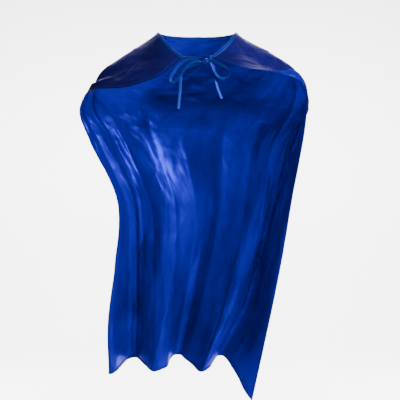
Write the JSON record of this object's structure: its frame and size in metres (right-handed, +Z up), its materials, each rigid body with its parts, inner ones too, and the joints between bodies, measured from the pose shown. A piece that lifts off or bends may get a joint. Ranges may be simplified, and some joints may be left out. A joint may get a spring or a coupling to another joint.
{
  "type": "superhero cape",
  "caption": "Satin costume cape draped over both shoulders, open in front, with a bound neck edge tied in a ribbon bow at the throat and hanging down the back in soft folds to a turned hem",
  "frame": {"origin": "middle of the neck opening, where the wearer's neck passes through", "axes": "+Z up along the wearer's neck, -Y the way the wearer faces (the bow's side), +X to the right of someone who faces the wearer"},
  "size_m": [0.6285, 0.3103, 1.0395],
  "materials": {
    "cape_satin": "satin",
    "ribbon": "satin",
    "hem_fold": "satin"
  },
  "bodies": {
    "shoulders": {"shoulder_left": "cape_satin", "shoulder_right": "cape_satin", "upper_back": "cape_satin", "neck_binding": "ribbon", "tie_lead_left": "ribbon", "tie_lead_right": "ribbon", "bow_knot": "ribbon", "front_edge_hem_left_upper": "hem_fold", "front_edge_hem_right_upper": "hem_fold"},
    "lower_cape": {"lower_side_left": "cape_satin", "lower_back_left": "cape_satin", "lower_back": "cape_satin", "lower_back_right": "cape_satin", "lower_side_right": "cape_satin", "front_edge_hem_left_lower": "hem_fold", "front_edge_hem_right_lower": "hem_fold", "bottom_hem": "hem_fold"},
    "bow_left": {"bow_loop_left": "ribbon", "tie_tail_left_top": "ribbon"},
    "bow_right": {"bow_loop_right": "ribbon", "tie_tail_right_top": "ribbon"},
    "tail_left": {"tie_tail_left": "ribbon"},
    "tail_right": {"tie_tail_right": "ribbon"}
  },
  "joints": [
    {"name": "cape_swing", "type": "hinge", "parent": "shoulders", "child": "lower_cape", "pos_m": [0, 0.115, -0.175], "axis": [1, 0, 0], "range_deg": [0, 35]},
    {"name": "bow_left_lift", "type": "hinge", "parent": "shoulders", "child": "bow_left", "pos_m": [0.023, -0.092, -0.043], "axis": [-1, 0, 0], "range_deg": [0, 40]},
    {"name": "bow_right_lift", "type": "hinge", "parent": "shoulders", "child": "bow_right", "pos_m": [0.023, -0.092, -0.043], "axis": [-1, 0, 0], "range_deg": [0, 40]},
    {"name": "tail_left_swing", "type": "hinge", "parent": "bow_left", "child": "tail_left", "pos_m": [-0.0449, -0.0891, -0.084], "axis": [0, 1, 0], "range_deg": [-20, 25]},
    {"name": "tail_right_swing", "type": "hinge", "parent": "bow_right", "child": "tail_right", "pos_m": [0.0466, -0.0891, -0.076], "axis": [0, -1, 0], "range_deg": [0, 25]}
  ]
}
